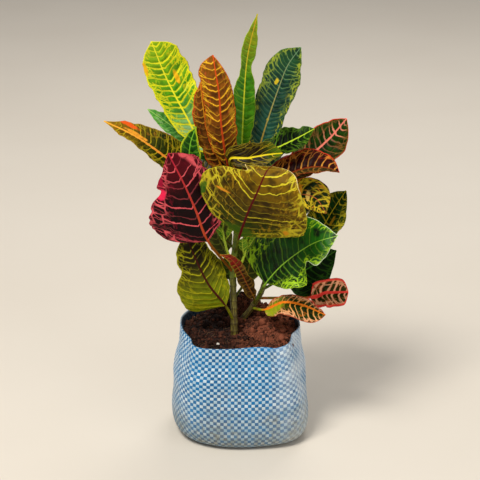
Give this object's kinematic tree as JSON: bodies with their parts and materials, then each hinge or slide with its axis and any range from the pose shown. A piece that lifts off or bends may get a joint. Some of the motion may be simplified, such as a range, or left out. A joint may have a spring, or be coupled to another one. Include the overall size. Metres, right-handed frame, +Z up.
{
  "type": "potted croton",
  "caption": "Young croton with long patterned leaves in green, yellow and wine red, on woody stems, standing in a filled grow bag of woven tape.",
  "frame": {"origin": "middle of the bag's flat foot, on the surface that it stands on", "axes": "+Z up along the stems, -Y towards the side that the picture shows, +X to the picture's right"},
  "size_m": [0.2905, 0.2183, 0.5152],
  "materials": {
    "woven_bag": "matte",
    "coco_soil": "matte",
    "green_bark": "satin",
    "leaf_fresh_green": "satin",
    "leaf_deep_green": "satin",
    "leaf_olive_gold": "satin",
    "leaf_bronze_red": "satin",
    "leaf_wine_red": "satin"
  },
  "bodies": {
    "root": {"grow_bag": "woven_bag", "soil": "coco_soil", "stem_main": "green_bark", "stem_side": "green_bark", "leaf_tall": "leaf_fresh_green", "leaf_deep": "leaf_deep_green", "leaf_lime": "leaf_fresh_green", "leaf_olive": "leaf_olive_gold", "leaf_midnight": "leaf_deep_green", "leaf_bronze": "leaf_bronze_red", "leaf_bronze_low": "leaf_bronze_red", "leaf_sprig": "leaf_fresh_green", "leaf_ember": "leaf_olive_gold", "leaf_rose": "leaf_deep_green", "leaf_maroon": "leaf_wine_red", "leaf_spring": "leaf_fresh_green", "leaf_blotch": "leaf_deep_green", "leaf_butterfly": "leaf_olive_gold", "leaf_right": "leaf_deep_green", "leaf_wine": "leaf_wine_red", "leaf_gloss": "leaf_fresh_green", "leaf_shade": "leaf_deep_green", "leaf_blush": "leaf_wine_red", "leaf_thin": "leaf_bronze_red", "leaf_flame": "leaf_olive_gold", "leaf_moss": "leaf_olive_gold", "leaf_back_1": "leaf_fresh_green", "leaf_back_2": "leaf_bronze_red", "leaf_back_3": "leaf_deep_green", "leaf_back_4": "leaf_olive_gold", "leaf_back_5": "leaf_wine_red", "leaf_back_6": "leaf_deep_green", "leaf_back_7": "leaf_olive_gold", "leaf_back_8": "leaf_wine_red", "leaf_back_9": "leaf_fresh_green", "leaf_back_10": "leaf_deep_green", "leaf_back_11": "leaf_fresh_green", "leaf_back_12": "leaf_bronze_red", "leaf_back_13": "leaf_deep_green", "leaf_back_14": "leaf_fresh_green", "leaf_back_15": "leaf_fresh_green", "shoot_left": "leaf_fresh_green", "shoot_right": "leaf_fresh_green"}
  },
  "joints": []
}
